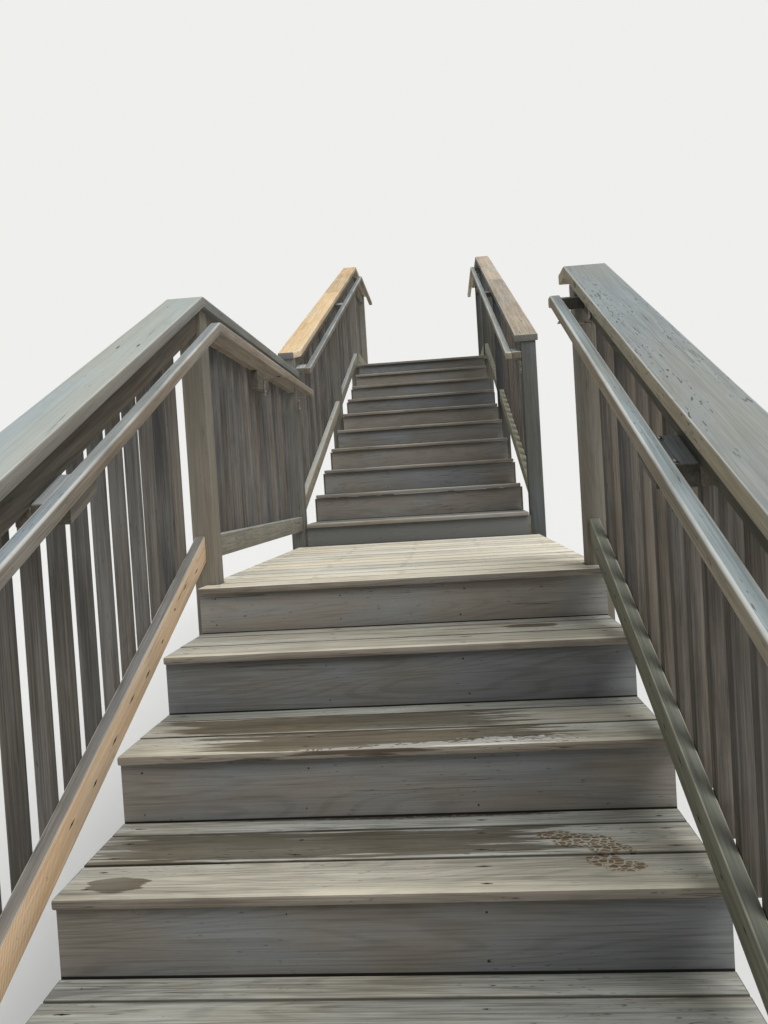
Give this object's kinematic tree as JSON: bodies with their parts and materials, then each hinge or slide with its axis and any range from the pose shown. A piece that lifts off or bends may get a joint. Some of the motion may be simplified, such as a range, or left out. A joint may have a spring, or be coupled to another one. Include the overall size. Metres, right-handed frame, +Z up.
{
  "type": "wooden deck stairs",
  "caption": "Outdoor timber deck stairs: a lower flight, a landing, an upper flight and a top platform, with posts, baluster railings, flat caps and slim handrails.",
  "frame": {"origin": "centre of the whole stair on the ground: the middle of its box, at the level of the post feet", "axes": "+X across the stair to the right of a person climbing, +Y uphill along the stair, +Z up"},
  "size_m": [1.625, 9.515, 4.137],
  "materials": {
    "tread_boards": "weathered stained softwood boards, worn along the nosings",
    "deck_boards": "weathered pale softwood deck boards",
    "riser_boards": "dark grey-brown stained softwood",
    "framing": "pressure-treated softwood framing, dull brown-grey",
    "posts": "stained softwood posts",
    "rails": "stained softwood rails and square balusters",
    "caps": "weathered grey-green stained cap boards",
    "handrails": "weathered grey stained handrails",
    "blocks": "stained softwood blocks",
    "brackets": "bent zinc-plated steel strap, dulled by weather"
  },
  "bodies": {
    "root": {"lower_tread_1": "tread_boards", "lower_tread_2": "tread_boards", "lower_tread_3": "tread_boards", "lower_tread_4": "tread_boards", "lower_tread_5": "tread_boards", "lower_tread_6": "tread_boards", "upper_tread_1": "tread_boards", "upper_tread_2": "tread_boards", "upper_tread_3": "tread_boards", "upper_tread_4": "tread_boards", "upper_tread_5": "tread_boards", "upper_tread_6": "tread_boards", "upper_tread_7": "tread_boards", "upper_tread_8": "tread_boards", "upper_tread_9": "tread_boards", "lower_risers": "riser_boards", "lower_stringers": "framing", "landing_deck": "deck_boards", "landing_frame": "framing", "upper_risers": "riser_boards", "upper_stringers": "framing", "top_deck": "deck_boards", "top_frame": "framing", "lower_left_posts": "posts", "lower_right_posts": "posts", "upper_left_posts": "posts", "upper_right_posts": "posts", "lower_left_rail": "rails", "lower_right_rail": "rails", "landing_rail": "rails", "upper_left_rail": "rails", "upper_right_rail": "rails", "top_left_rail": "rails", "top_right_rail": "rails", "lower_left_cap": "caps", "lower_right_cap": "caps", "upper_left_cap": "caps", "upper_right_cap": "caps", "lower_left_handrail": "handrails", "lower_right_handrail": "handrails", "upper_left_handrail": "handrails", "upper_right_handrail": "handrails", "left_blocks": "blocks", "right_blocks": "blocks", "left_brackets": "brackets", "right_brackets": "brackets"}
  },
  "joints": []
}
